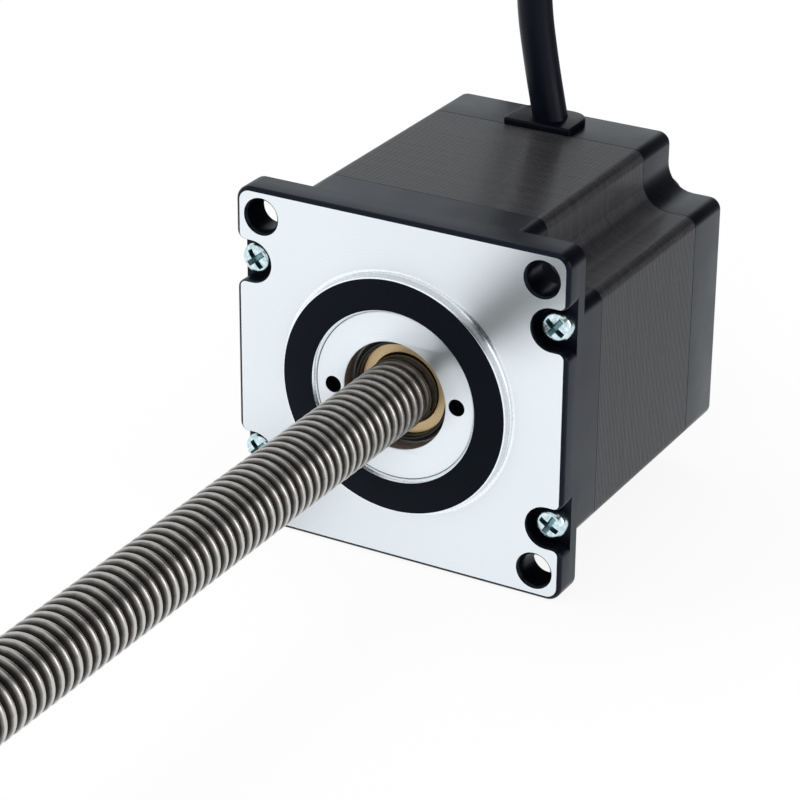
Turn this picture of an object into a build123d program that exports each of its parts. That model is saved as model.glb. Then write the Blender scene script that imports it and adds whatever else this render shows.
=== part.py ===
from build123d import *

import math
import os

# Non-captive linear stepper motor, in millimetres.
# The origin is the centre of the flange's front face, on the motor axis.
# +Y runs back into the motor, +X is its right side and +Z is up, where the cable leaves.

# Mounting side
flange_side = 56.0
flange_thickness = 5.0
flange_corner = 2.4
flange_bevel = 0.65
mount_hole_inset = 4.43
mount_hole_radius = 2.55
mount_hole_bevel = 0.45
pilot_radius = 19.05
pilot_height = 1.6
pilot_bevel = 0.25

# Housing lengths along the axis, from the flange face to the back
front_cap_depth = 11.0
stack_length = 32.5
rear_cap_depth = 10.0

# Outline behind the flange: a square with a rounded notch at each corner
notch_depth = 9.2
lobe_corner = 1.9
notch_radius = 4.4
rear_edge_round = 0.8

# Walls of the two end caps
side_wall = 2.5
front_web = 3.6
rear_wall = 3.5
hub_wall = 2.2
hub_lip = 1.0
lip_height = 1.2

# Four long screws that clamp the caps and the stator stack together
clamp_side_inset = 2.7
clamp_lobe_inset = 2.8
clamp_shank_radius = 1.48
clamp_head_radius = 2.6
clamp_head_height = 2.1
clamp_head_round = 0.9
clamp_bite = 4.8
shank_clearance = 0.12
thread_clearance = 0.02
pocket_depth = 3.0
pocket_clearance = 1.0
pocket_mouth_round = 1.0

# Thin-section ball bearings at both ends of the rotor
bearing_bore_radius = 8.5
bearing_outer_radius = 13.0
bearing_width = 5.0
ring_gap_share = 0.13
groove_depth = 0.57
ball_count = 14
ball_clearance = 0.1
cage_share = 0.43
cage_end_gap = 0.25
shield_thickness = 0.25
shield_inset = 0.2
seat_clearance = 0.02

# Retainer ring, screwed into the front cap over the front bearing
retainer_cover = 0.4
retainer_thickness = 3.0
retainer_recess = 0.65
retainer_bore_radius = 8.67
retainer_clearance = 0.05
retainer_bevel = 0.15
spanner_hole_radius = 1.35
spanner_hole_circle = 10.56
spanner_hole_depth = 2.0
spanner_hole_turn = 3.0
recess_bevel = 0.42

# Spring washer behind the rear bearing
washer_thickness = 0.35
washer_rise = 0.6
washer_band = 1.3

# Rotor
rotor_step = 0.3
tooth_depth = 0.5
tooth_width = 0.82
rotor_teeth = 50
rotor_end_gap = 1.0
magnet_length = 1.9
magnet_step = 0.9
shaft_shoulder = 1.0
shaft_lip_radius = 8.1
shaft_lip_reach = 0.95
shaft_lip_round = 0.5
shaft_tail = 1.4
shaft_bore_clearance = 0.7
press_gap = 0.02

# Drive nut, pressed into the hollow shaft
nut_radius = 7.05
nut_length = 22.0
nut_recess = 1.5
nut_relief = 0.35
nut_relief_depth = 1.2
thread_play = 0.08

# Lead screw, with its single-start thread left plain here
lead_screw_radius = 5.5
lead_screw_length = 250.0
lead_screw_reach = 158.0
lead_screw_point = 1.0

# Stator core and windings
air_gap = 0.1
pole_count = 8
pole_width = 5.6
teeth_per_pole = 6
tooth_pitch = 7.2
shoe_depth = 1.5
shoe_gap = 1.7
back_iron_share = 0.83
insulator_plate = 1.0
insulator_rim = 1.0
insulator_height = 5.0
insulator_step = 0.4
coil_side = 2.2
coil_end = 2.8
coil_shoe_gap = 0.1
coil_iron_gap = 0.8
coil_gap = 0.1

# Cable gland on top, at the seam between the stack and the rear cap
gland_x = 0.15
gland_width = 11.6
gland_length = 8.2
gland_overhang = 0.2
gland_thickness = 1.1
gland_front_round = 0.5
gland_rear_round = 3.2
gland_edge_round = 0.3
neck_width = 7.4
neck_length = 7.2
neck_drop = 2.9
neck_clearance = 0.1
gland_bore_radius = 2.1
cable_offset = 0.4

# Cable and its four cores
cable_radius = 2.75
core_radius = 0.6
core_offset = 0.8
coil_turn_radius = 27.5
coil_layers = 2

# Positions along the axis that follow from the lengths above
stack_front = front_cap_depth
stack_back = front_cap_depth + stack_length
motor_back = stack_back + rear_cap_depth
half_side = flange_side / 2
floor_level = -half_side
mount_spacing = flange_side - 2 * mount_hole_inset
lobe_half = half_side - notch_depth
clamp_screw_x = half_side - clamp_side_inset
clamp_screw_z = lobe_half - clamp_lobe_inset
cavity_radius = half_side - side_wall
back_iron_radius = back_iron_share * half_side
retainer_front = -pilot_height + retainer_recess
front_bearing_front = retainer_front + retainer_thickness
front_bearing_back = front_bearing_front + bearing_width
washer_space = washer_thickness + washer_rise
rear_bearing_back = motor_back - hub_lip - washer_space
rear_bearing_front = rear_bearing_back - bearing_width
hub_radius = bearing_outer_radius + hub_wall
retainer_radius = bearing_outer_radius + retainer_cover
rotor_radius = hub_radius + rotor_step
core_bore_radius = rotor_radius + air_gap
nut_front = front_bearing_front - shaft_lip_reach + nut_recess
cup_length = (stack_length - 2 * rotor_end_gap - magnet_length) / 2
magnet_start = stack_front + rotor_end_gap + cup_length
ball_circle = (bearing_bore_radius + bearing_outer_radius) / 2
ring_gap_half = ring_gap_share * (bearing_outer_radius - bearing_bore_radius)
ball_radius = ring_gap_half + groove_depth
coil_inner = core_bore_radius + tooth_depth + shoe_depth + coil_shoe_gap
coil_outer = back_iron_radius - coil_iron_gap
quarters = [(side, level) for side in (-1, 1) for level in (-1, 1)]
clamp_points = [(side * clamp_screw_x, level * clamp_screw_z) for side, level in quarters]
mount_points = [(side * mount_spacing / 2, level * mount_spacing / 2) for side, level in quarters]
gland_y = stack_back - gland_overhang + gland_length / 2
cable_x = gland_x + cable_offset
cable_exit = (cable_x, gland_y, half_side + gland_thickness)

# Route of the cable from the gland, up, over to the back and down to the surface behind the motor
cable_route = [
    cable_exit,
    (-1.4, 47.7, 37.50),
    (-3.1, 47.6, 48.0),
    (-3.6, 48.5, 64.0),
    (-4.7, 51.8, 81.50),
    (-10.5, 62.9, 97.0),
    (-20.3, 81.5, 105.0),
    (-30.7, 102.0, 102.0),
    (-40.2, 116.2, 88.0),
    (-44.4, 122.8, 66.0),
    (-43.3, 123.4, 34.0),
    (-39.8, 125.4, 5.16),
    (-36.0, 122.5, -6.27),
    (-29.2, 117.1, -15.02),
    (-20.1, 110.1, -19.75),
    (-10.4, 102.5, -19.75),
]
cable_coil_centre = (-32.4, 84.7)
tail_start_angle = 180.0
tail_length = 22.0
sleeve_length = 10.0
sleeve_wall = 0.35
lead_length = 15.0
lead_radius = 0.75
lead_spread = 1.5
connector_pitch = 2.5
connector_width = 12.4
connector_length = 9.8
connector_height = 5.6
connector_key = 0.7


def across(y):
    """Plane square to the motor axis, y behind the flange face, with X right and Z up."""
    return Plane.XZ.offset(-y)


def run_back(outline, start, length):
    """Solid of an outline in X and Z, from start and going back by length."""
    outline = Sketch() + outline if isinstance(outline, list) else outline
    return extrude(across(start) * outline, amount=-length)


def turned(points):
    """Solid of revolution about the motor axis, from (radius, y) points."""
    return revolve(make_face(Polyline(*points, close=True)), axis=Axis.Y)


def tube(outer, inner, start, end):
    """Plain ring about the motor axis, from start to end."""
    return turned([(inner, start), (outer, start), (outer, end), (inner, end)])


def housing_outline():
    """Square with a rounded notch at each corner, as the caps and the stack share it."""
    notch = 2 * (half_side - lobe_half)
    corners = [(x, z) for x in (-half_side, half_side) for z in (-half_side, half_side)]
    outline = Rectangle(flange_side, flange_side) - Locations(*corners) * Rectangle(notch, notch)
    inner = [v for v in outline.vertices() if abs(abs(v.X) - abs(v.Y)) < 0.01]
    outline = fillet(inner, notch_radius)
    outer = [v for v in outline.vertices() if max(abs(v.X), abs(v.Y)) > half_side - 0.01]
    return fillet(outer, lobe_corner)


def screw_holes(radius):
    """Holes for the four clamping screws."""
    return Locations(*clamp_points) * Circle(radius)


def screw_pocket(side, level):
    """Recess for a screw head, open at the flange's side, with rounded lips."""
    radius = clamp_head_radius + pocket_clearance
    slot = Rectangle(2 * (half_side - clamp_screw_x), 2 * radius)
    lip = pocket_mouth_round
    flare = Pos(half_side - clamp_screw_x - lip / 2, 0) * Rectangle(lip, 2 * (radius + lip))
    rounds = [
        Pos(half_side - clamp_screw_x - lip, sign * (radius + lip)) * Circle(lip)
        for sign in (-1, 1)
    ]
    outline = Circle(radius) + slot + (flare - rounds)
    turn = 0 if side > 0 else 180
    return Pos(side * clamp_screw_x, level * clamp_screw_z) * Rot(0, 0, turn) * outline


def front_end_cap():
    """Mounting flange, pilot and front bearing hub in one casting."""
    flange = run_back(RectangleRounded(flange_side, flange_side, flange_corner), 0, flange_thickness)
    front_edges = flange.faces().sort_by(Axis.Y)[0].edges()
    flange = chamfer(front_edges, flange_bevel)
    skirt = run_back(housing_outline(), flange_thickness, front_cap_depth - flange_thickness)
    cavity = tube(cavity_radius, hub_radius, front_web, front_cap_depth + 1)
    pilot = turned([
        (0, -pilot_height),
        (pilot_radius - pilot_bevel, -pilot_height),
        (pilot_radius, -pilot_height + pilot_bevel),
        (pilot_radius, 0),
        (0, 0),
    ])
    thread_radius = retainer_radius + retainer_clearance
    seat_radius = bearing_outer_radius + seat_clearance
    bore = turned([
        (0, -pilot_height),
        (thread_radius + recess_bevel, -pilot_height),
        (thread_radius, -pilot_height + recess_bevel),
        (thread_radius, front_bearing_front),
        (seat_radius, front_bearing_front),
        (seat_radius, front_bearing_back),
        (bearing_outer_radius - lip_height, front_bearing_back),
        (bearing_outer_radius - lip_height, front_cap_depth + 1),
        (0, front_cap_depth + 1),
    ])
    hub_end = front_bearing_back + hub_lip
    behind_hub = tube(hub_radius, 0, hub_end, front_cap_depth + 1)
    cap = flange + skirt + pilot - cavity - behind_hub - bore
    for x, z in mount_points:
        cap -= run_back(Pos(x, z) * Circle(mount_hole_radius), -1, flange_thickness + 2)
    rims = cap.faces().filter_by(Plane.XZ).sort_by(Axis.Y).filter_by(lambda f: abs(f.center().Y) < 0.01)
    mouths = [
        e for e in rims.edges()
        if e.geom_type == GeomType.CIRCLE and abs(e.radius - mount_hole_radius) < 0.01
    ]
    cap = chamfer(mouths, mount_hole_bevel)
    for side, level in quarters:
        cap -= run_back(screw_pocket(side, level), -1, pocket_depth + 1)
    return cap - run_back(screw_holes(clamp_shank_radius + shank_clearance), 0, front_cap_depth + 1)


def stator_laminations():
    """Stack of steel sheets with eight toothed poles."""
    shoe_outer = core_bore_radius + tooth_depth + shoe_depth
    tooth_root = core_bore_radius + tooth_depth
    gaps = PolarLocations((shoe_outer + tooth_root) / 2, pole_count, 360 / pole_count / 2)
    shoes = Circle(shoe_outer) - Circle(tooth_root) - gaps * Rectangle(2 * shoe_depth, shoe_gap)
    pole_end = back_iron_radius + 1
    pole_middle = (tooth_root + pole_end) / 2
    poles = PolarLocations(pole_middle, pole_count) * Rectangle(pole_end - tooth_root, pole_width)
    sheet = housing_outline() - Circle(back_iron_radius)
    sheet = sheet + poles + shoes
    step = 360 / pole_count
    first = -(teeth_per_pole - 1) / 2 * tooth_pitch
    for pole in range(pole_count):
        teeth = PolarLocations(
            core_bore_radius + tooth_depth,
            teeth_per_pole,
            start_angle=pole * step + first,
            angular_range=teeth_per_pole * tooth_pitch,
        )
        sheet += teeth * Rectangle(2 * tooth_depth, tooth_width)
    sheet -= screw_holes(clamp_shank_radius + shank_clearance)
    return run_back(sheet, stack_front, stack_length)


def winding_insulator(face, direction):
    """Plastic end former that keeps the windings off the sheets at one end."""
    tip = core_bore_radius + tooth_depth
    rim = back_iron_radius + insulator_rim
    arms = PolarLocations((tip + rim) / 2, pole_count) * Rectangle(
        rim - tip, pole_width + 2 * insulator_step
    )
    gaps = PolarLocations(tip + shoe_depth / 2, pole_count, 360 / pole_count / 2)
    inner = Circle(tip + 1) - Circle(tip) - gaps * Rectangle(2 * shoe_depth, shoe_gap)
    outer = Circle(rim + insulator_step) - Circle(rim - insulator_rim + insulator_step)
    plate_outline = (Sketch() + arms - Circle(tip)) + inner + outer
    wall_outline = inner + outer
    plate_start = face if direction > 0 else face - insulator_plate
    wall_start = plate_start if direction > 0 else face - insulator_height
    plate = run_back(plate_outline, plate_start, insulator_plate)
    return plate + run_back(wall_outline, wall_start, insulator_height)


def stator_windings():
    """One copper coil round each pole, as a group of solids."""
    opening_width = pole_width + 2 * insulator_step + 2 * coil_gap
    opening_length = stack_length + 2 * insulator_plate + 2 * coil_gap
    outer = RectangleRounded(opening_width + 2 * coil_side, opening_length + 2 * coil_end, coil_side)
    ring = outer - Rectangle(opening_width, opening_length)
    middle = (stack_front + stack_back) / 2
    base = Plane(origin=(0, middle, coil_inner), x_dir=(1, 0, 0), z_dir=(0, 0, 1))
    coil = extrude(base * ring, amount=coil_outer - coil_inner)
    return [Rot(0, turn * 360 / pole_count, 0) * coil for turn in range(pole_count)]


def clamp_screws():
    """The four long screws, as a group of solids."""
    head_top = pocket_depth - clamp_head_height
    end = stack_back + clamp_bite
    screws = []
    for x, z in clamp_points:
        head = turned([
            (0, head_top),
            (clamp_head_radius, head_top),
            (clamp_head_radius, pocket_depth),
            (0, pocket_depth),
        ])
        head = fillet(head.edges().sort_by(Axis.Y)[0], clamp_head_round)
        shank = tube(clamp_shank_radius, 0, pocket_depth, end)
        shank = chamfer(shank.edges().sort_by(Axis.Y)[-1], clamp_shank_radius / 4)
        screws.append(Pos(x, 0, z) * (head + shank))
    return screws


def rear_end_cap():
    """Back casting with the rear bearing hub and the slot for the cable gland."""
    cap = run_back(housing_outline(), stack_back, rear_cap_depth)
    back_edges = cap.faces().sort_by(Axis.Y)[-1].edges()
    cap = fillet(back_edges, rear_edge_round)
    cavity = tube(cavity_radius, hub_radius, stack_back - 1, motor_back - rear_wall)
    before_hub = tube(hub_radius, 0, stack_back - 1, rear_bearing_front)
    seat = tube(bearing_outer_radius + seat_clearance, 0, stack_back, motor_back - hub_lip)
    window = tube(bearing_outer_radius - lip_height - washer_band / 2, 0, stack_back, motor_back + 1)
    cap = cap - cavity - before_hub - seat - window
    slot_length = gland_y + neck_length / 2 + neck_clearance - stack_back
    slot_top = half_side + 1
    slot = Box(
        neck_width + 2 * neck_clearance,
        slot_length + 1,
        slot_top - cavity_radius + 2,
        align=(Align.CENTER, Align.MAX, Align.MAX),
    )
    cap -= Pos(gland_x, stack_back + slot_length, slot_top) * slot
    thread = screw_holes(clamp_shank_radius + thread_clearance)
    return cap - run_back(thread, stack_back - 1, clamp_bite + 2)


def bearing_rings(front):
    """Outer and inner ring of one bearing, grooved for the balls."""
    back = front + bearing_width
    groove = Rot(90, 0, 0) * Torus(ball_circle, ball_radius + ball_clearance)
    groove = Pos(0, front + bearing_width / 2, 0) * groove
    outer = tube(bearing_outer_radius, ball_circle + ring_gap_half, front, back) - groove
    inner = tube(ball_circle - ring_gap_half, bearing_bore_radius, front, back) - groove
    return outer, inner


def bearing_balls(front):
    """Balls of one bearing, as a group of solids."""
    middle = front + bearing_width / 2
    return [
        Rot(0, turn * 360 / ball_count, 0) * Pos(ball_circle, middle, 0) * Sphere(ball_radius)
        for turn in range(ball_count)
    ]


def bearing_cage(front):
    """Ring that spaces the balls of one bearing."""
    middle = front + bearing_width / 2
    half_width = bearing_width / 2 - shield_inset - shield_thickness - cage_end_gap
    thickness = 2 * cage_share * ring_gap_half
    outer = ball_circle + thickness / 2
    cage = tube(outer, outer - thickness, middle - half_width, middle + half_width)
    pocket = Rot(0, 90, 0) * Cylinder(ball_radius + ball_clearance, 2 * thickness)
    pocket = Pos(ball_circle, middle, 0) * pocket
    for turn in range(ball_count):
        cage -= Rot(0, turn * 360 / ball_count, 0) * pocket
    return cage


def bearing_shields(front):
    """Two thin steel shields held by the outer ring."""
    outer = ball_circle + ring_gap_half
    inner = ball_circle - ring_gap_half + ball_clearance
    first = front + shield_inset
    last = front + bearing_width - shield_inset - shield_thickness
    return [tube(outer, inner, start, start + shield_thickness) for start in (first, last)]


def spring_washer():
    """Sprung steel washer that loads the rear bearing."""
    outer = bearing_outer_radius - seat_clearance * 5
    inner = outer - washer_band
    return turned([
        (outer, rear_bearing_back),
        (outer, rear_bearing_back + washer_thickness),
        (inner, rear_bearing_back + washer_thickness + washer_rise),
        (inner, rear_bearing_back + washer_rise),
    ])


def retainer_ring():
    """Threaded disc with two spanner holes that holds the front bearing in."""
    ring = tube(retainer_radius, retainer_bore_radius, retainer_front, front_bearing_front)
    front_edges = ring.faces().sort_by(Axis.Y)[0].edges()
    ring = chamfer(front_edges, retainer_bevel)
    holes = PolarLocations(spanner_hole_circle, 2, spanner_hole_turn) * Circle(spanner_hole_radius)
    return ring - run_back(holes, retainer_front - 1, spanner_hole_depth + 1)


def hollow_shaft():
    """Rotor shaft, bored for the nut in front and for the lead screw behind it."""
    shoulder = bearing_bore_radius + shaft_shoulder
    front = front_bearing_front - shaft_lip_reach
    back = rear_bearing_back + shaft_tail
    nut_seat = nut_radius + press_gap
    bore = lead_screw_radius + shaft_bore_clearance
    shaft = turned([
        (nut_seat, front),
        (shaft_lip_radius, front),
        (shaft_lip_radius, front_bearing_front),
        (bearing_bore_radius - press_gap, front_bearing_front),
        (bearing_bore_radius - press_gap, front_bearing_back),
        (shoulder, front_bearing_back),
        (shoulder, rear_bearing_front),
        (bearing_bore_radius - press_gap, rear_bearing_front),
        (bearing_bore_radius - press_gap, back),
        (bore, back),
        (bore, nut_front + nut_length),
        (nut_seat, nut_front + nut_length),
    ])
    lip = shaft.faces().sort_by(Axis.Y)[0].edges()
    return fillet(lip, shaft_lip_round)


def rotor_cup(start, length, turn):
    """Toothed half of the rotor core."""
    bore = bearing_bore_radius + shaft_shoulder + press_gap
    outline = Circle(rotor_radius - tooth_depth) - Circle(bore)
    teeth = PolarLocations(rotor_radius - tooth_depth, rotor_teeth, turn)
    outline += teeth * Rectangle(2 * tooth_depth, tooth_width)
    return run_back(outline, start, length)


def drive_nut():
    """Brass nut, bored plain where its thread runs."""
    bore = lead_screw_radius + thread_play
    relief = bore + nut_relief
    return turned([
        (relief, nut_front),
        (nut_radius, nut_front),
        (nut_radius, nut_front + nut_length),
        (bore, nut_front + nut_length),
        (bore, nut_front + nut_relief_depth),
        (relief, nut_front + nut_relief_depth),
    ])


def lead_screw():
    """Long screw that travels through the motor without turning."""
    screw = tube(lead_screw_radius, 0, -lead_screw_reach, lead_screw_length - lead_screw_reach)
    ends = [screw.edges().sort_by(Axis.Y)[0], screw.edges().sort_by(Axis.Y)[-1]]
    return chamfer(ends, lead_screw_point)


def cable_gland():
    """Rubber plate on the seam, with a neck that fills the slot in the rear cap."""
    outline = Rectangle(gland_width, gland_length)
    front_corners = [v for v in outline.vertices() if v.Y < 0]
    outline = fillet(front_corners, gland_front_round)
    rear_corners = [v for v in outline.vertices() if v.Y > gland_length / 2 - 0.01]
    outline = fillet(rear_corners, gland_rear_round)
    plate = extrude(Pos(gland_x, gland_y, half_side) * outline, amount=gland_thickness)
    plate = fillet(plate.faces().sort_by(Axis.Z)[-1].edges(), gland_edge_round)
    neck_start = max(gland_y - neck_length / 2, stack_back + neck_clearance)
    neck_end = gland_y + neck_length / 2
    neck = Box(neck_width, neck_end - neck_start, neck_drop, align=(Align.CENTER, Align.MIN, Align.MAX))
    gland = plate + Pos(gland_x, neck_start, half_side) * neck
    bore = Cylinder(gland_bore_radius, 2 * (neck_drop + gland_thickness))
    return gland - Pos(cable_x, gland_y, half_side) * bore


def cable_cores():
    """The four insulated cores inside the gland, as a group of solids."""
    top = half_side + gland_thickness
    bottom = back_iron_radius + insulator_rim + insulator_step + coil_gap
    length = top - bottom
    core = Cylinder(core_radius, length, align=(Align.CENTER, Align.CENTER, Align.MIN))
    return [
        Pos(cable_x + dx, gland_y + dy, bottom) * core
        for dx in (-core_offset, core_offset)
        for dy in (-core_offset, core_offset)
    ]


def cord_tube(points, radius):
    """Round tube along straight runs joined by arcs."""
    corners = [Vector(*p) for p in points]
    radii = []
    for before, here, after in zip(corners, corners[1:], corners[2:]):
        turn = (here - before).get_angle(after - here)
        shorter = min((here - before).length, (after - here).length)
        radii.append(0.45 * shorter / math.tan(math.radians(turn) / 2))
    path = FilletPolyline(*points, radius=radii)
    section = Plane(origin=path @ 0, z_dir=path % 0) * Circle(radius)
    solid = sweep(section, path=path)
    print("cable arcs", [round(r, 1) for r in radii], "length", round(path.length, 1))
    print("volume over section times length", round(solid.volume / (math.pi * radius**2 * path.length), 4))
    return solid


def cable_lead():
    """The cable from the gland to the coil, cut flush where it leaves the gland."""
    start = Vector(*cable_route[0])
    away = (Vector(*cable_route[1]) - start).normalized()
    first = start - away * (cable_radius / 4)
    tube_solid = cord_tube([tuple(first)] + cable_route[1:], cable_radius)
    under = (Align.CENTER, Align.CENTER, Align.MAX)
    below = Box(4 * cable_radius, 4 * cable_radius, cable_radius, align=under)
    return tube_solid - Pos(*cable_exit) * below


def cable_coil():
    """Outer shape of the wound part of the cable, lying flat."""
    height = coil_layers * 2 * cable_radius
    bottom = (Align.CENTER, Align.CENTER, Align.MIN)
    ring = Cylinder(coil_turn_radius + cable_radius, height, align=bottom)
    ring -= Cylinder(coil_turn_radius - cable_radius, height, align=bottom)
    return Pos(*cable_coil_centre, floor_level) * ring


def tail_heading():
    """Level direction in which the cable leaves its coil."""
    angle = math.radians(tail_start_angle)
    return Vector(math.sin(angle), -math.cos(angle), 0)


def tail_place(distance, height):
    """Point along the cable's last stretch, from where it leaves the coil."""
    angle = math.radians(tail_start_angle)
    radial = Vector(math.cos(angle), math.sin(angle), 0)
    level = Vector(*cable_coil_centre, floor_level + height)
    return level + radial * coil_turn_radius + tail_heading() * distance


def cable_tail():
    """The cable from the bottom of the coil to the sleeve."""
    place = Plane(origin=tail_place(0, cable_radius + sleeve_wall), z_dir=tail_heading())
    return extrude(place * Circle(cable_radius), amount=tail_length)


def cable_end_sleeve():
    """Shrunk sleeve where the cable's jacket ends."""
    radius = cable_radius + sleeve_wall
    place = Plane(origin=tail_place(tail_length, radius), z_dir=tail_heading())
    sleeve = extrude(place * Circle(radius), amount=sleeve_length)
    return chamfer(sleeve.edges().filter_by(GeomType.CIRCLE), sleeve_wall / 2)


def lead_wires():
    """Four short insulated leads between the sleeve and the connector, as a group of solids."""
    along = tail_heading()
    sideways = along.cross(Vector(0, 0, 1))
    near_place = tail_place(tail_length + sleeve_length, cable_radius + sleeve_wall)
    far_place = tail_place(tail_length + sleeve_length + lead_length, connector_height / 2)
    wires = []
    for number in (-1.5, -0.5, 0.5, 1.5):
        near = Plane(origin=near_place + sideways * (number * lead_spread), z_dir=along)
        far = Plane(origin=far_place + sideways * (number * connector_pitch), z_dir=along)
        wires.append(loft([near * Circle(lead_radius), far * Circle(lead_radius)]))
    return wires


def cable_connector():
    """Four-way plug on the end of the leads."""
    along = tail_heading()
    start = tail_place(tail_length + sleeve_length + lead_length, 0)
    base = Plane(origin=start, x_dir=along.cross(Vector(0, 0, 1)), z_dir=(0, 0, 1))
    from_start = (Align.CENTER, Align.MIN, Align.MIN)
    body = Box(connector_width, connector_length, connector_height, align=from_start)
    key = Box(connector_pitch * 3, connector_length / 2, connector_key, align=from_start)
    return base * (body + Pos(0, 0, connector_height) * key)


def rotor_magnet():
    """Magnet disc between the two toothed halves."""
    bore = bearing_bore_radius + shaft_shoulder + press_gap
    return tube(rotor_radius - magnet_step, bore, magnet_start, magnet_start + magnet_length)


os.makedirs("parts", exist_ok=True)


def save(name, shape):
    """Write one sub-part, a solid or a group of solids."""
    shape = Compound(children=shape) if isinstance(shape, list) else shape
    export_step(shape, f"parts/{name}.step")
    print(name)


front_outer, front_inner = bearing_rings(front_bearing_front)
rear_outer, rear_inner = bearing_rings(rear_bearing_front)

save("front_end_cap", front_end_cap())
save("stator_laminations", stator_laminations())
save("rear_end_cap", rear_end_cap())
save("clamp_screws", clamp_screws())
save("front_winding_insulator", winding_insulator(stack_front, -1))
save("rear_winding_insulator", winding_insulator(stack_back, 1))
save("stator_windings", stator_windings())
save("retainer_ring", retainer_ring())
save("spring_washer", spring_washer())
save("front_bearing_outer_ring", front_outer)
save("front_bearing_inner_ring", front_inner)
save("front_bearing_balls", bearing_balls(front_bearing_front))
save("front_bearing_cage", bearing_cage(front_bearing_front))
save("front_bearing_shields", bearing_shields(front_bearing_front))
save("rear_bearing_outer_ring", rear_outer)
save("rear_bearing_inner_ring", rear_inner)
save("rear_bearing_balls", bearing_balls(rear_bearing_front))
save("rear_bearing_cage", bearing_cage(rear_bearing_front))
save("rear_bearing_shields", bearing_shields(rear_bearing_front))
save("hollow_shaft", hollow_shaft())
save("front_rotor_cup", rotor_cup(stack_front + rotor_end_gap, cup_length, 0))
save("rotor_magnet", rotor_magnet())
save("rear_rotor_cup", rotor_cup(magnet_start + magnet_length, cup_length, 180 / rotor_teeth))
save("drive_nut", drive_nut())
save("lead_screw", lead_screw())
save("cable_gland", cable_gland())
save("cable_cores", cable_cores())
save("cable_lead", cable_lead())
save("cable_coil", cable_coil())
save("cable_tail", cable_tail())
save("cable_end_sleeve", cable_end_sleeve())
save("lead_wires", lead_wires())
save("cable_connector", cable_connector())
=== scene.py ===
import math
import random

import bmesh
import bpy
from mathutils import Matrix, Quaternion, Vector
from mathutils.geometry import tessellate_polygon


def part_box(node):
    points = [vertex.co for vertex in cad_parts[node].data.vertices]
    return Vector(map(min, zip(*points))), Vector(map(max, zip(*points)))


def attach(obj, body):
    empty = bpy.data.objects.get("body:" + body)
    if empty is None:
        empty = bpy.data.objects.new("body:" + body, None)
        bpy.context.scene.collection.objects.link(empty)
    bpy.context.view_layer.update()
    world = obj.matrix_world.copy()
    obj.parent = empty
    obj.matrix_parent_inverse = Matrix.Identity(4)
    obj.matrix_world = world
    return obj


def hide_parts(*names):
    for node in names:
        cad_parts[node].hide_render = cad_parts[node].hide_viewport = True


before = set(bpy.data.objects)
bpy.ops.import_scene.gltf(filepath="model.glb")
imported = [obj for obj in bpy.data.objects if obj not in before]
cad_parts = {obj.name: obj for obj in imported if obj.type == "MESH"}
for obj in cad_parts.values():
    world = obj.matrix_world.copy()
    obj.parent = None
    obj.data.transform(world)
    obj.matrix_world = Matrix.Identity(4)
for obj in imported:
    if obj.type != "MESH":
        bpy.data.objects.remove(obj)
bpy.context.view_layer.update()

mm = 0.001  # sizes below are in millimetres unless a comment says otherwise

# The motor's main sizes, as the frame has them
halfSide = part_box("front_end_cap")[1].x / mm
stackLow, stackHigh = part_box("stator_laminations")
stackFront = stackLow.y / mm
stackBack = stackHigh.y / mm
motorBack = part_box("rear_end_cap")[1].y / mm
floorLevel = -halfSide
cableRadius = 2.75
smallestRound = 0.05  # corners that an inset would close keep this radius


def fromHex(code):
    # sRGB hex to the linear colour that the shader wants
    values = [int(code[i:i + 2], 16) / 255 for i in (1, 3, 5)]
    linear = [v / 12.92 if v <= 0.04045 else ((v + 0.055) / 1.055) ** 2.4 for v in values]
    return (*linear, 1.0)


def addNode(tree, kind, settings=None, links=None):
    # One node, with its own settings, its input values and what feeds it
    node = tree.nodes.new(kind)
    for key, value in (settings or {}).items():
        if isinstance(key, int) or key in node.inputs:
            node.inputs[key].default_value = value
        else:
            setattr(node, key, value)
    for key, source in (links or {}).items():
        tree.links.new(source, node.inputs[key])
    return node


def addObject(name, data):
    obj = bpy.data.objects.new(name, data)
    bpy.context.scene.collection.objects.link(obj)
    return obj


def newMaterial(name, settings):
    # A material with only its shader, and the tree and object coordinates to build on
    material = bpy.data.materials.new(name)
    material.use_nodes = True
    tree = material.node_tree
    tree.nodes.clear()
    shader = addNode(tree, "ShaderNodeBsdfPrincipled", settings)
    addNode(tree, "ShaderNodeOutputMaterial", links={"Surface": shader.outputs["BSDF"]})
    place = addNode(tree, "ShaderNodeTexCoord").outputs["Object"]
    return material, tree, shader, place


def coverSurface(tree, shader, tones, shine, relief, turned=False):
    # Patterns into the shader. tones: source and colour stops. shine: source, its range and the roughness at
    # the range's ends, or None. relief: source, strength and depth. A turned surface was cut round the axis
    source, stops = tones
    ramp = addNode(tree, "ShaderNodeValToRGB", links={"Fac": source})
    points = ramp.color_ramp.elements
    points[0].position, points[0].color = stops[0][0], fromHex(stops[0][1])
    points[1].position, points[1].color = stops[-1][0], fromHex(stops[-1][1])
    for position, code in stops[1:-1]:
        points.new(position).color = fromHex(code)
    tree.links.new(ramp.outputs["Color"], shader.inputs["Base Color"])
    if shine:
        source, (low, high), (first, last) = shine
        rough = addNode(
            tree, "ShaderNodeMapRange", {"From Min": low, "From Max": high, "To Min": first, "To Max": last},
            {"Value": source},
        )
        tree.links.new(rough.outputs["Result"], shader.inputs["Roughness"])
    source, strength, depth = relief
    bump = addNode(tree, "ShaderNodeBump", {"Strength": strength, "Distance": depth * mm}, {"Height": source})
    tree.links.new(bump.outputs["Normal"], shader.inputs["Normal"])
    if turned:
        tangent = addNode(tree, "ShaderNodeTangent", {"direction_type": "RADIAL", "axis": "Y"})
        tree.links.new(tangent.outputs["Tangent"], shader.inputs["Tangent"])


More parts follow.
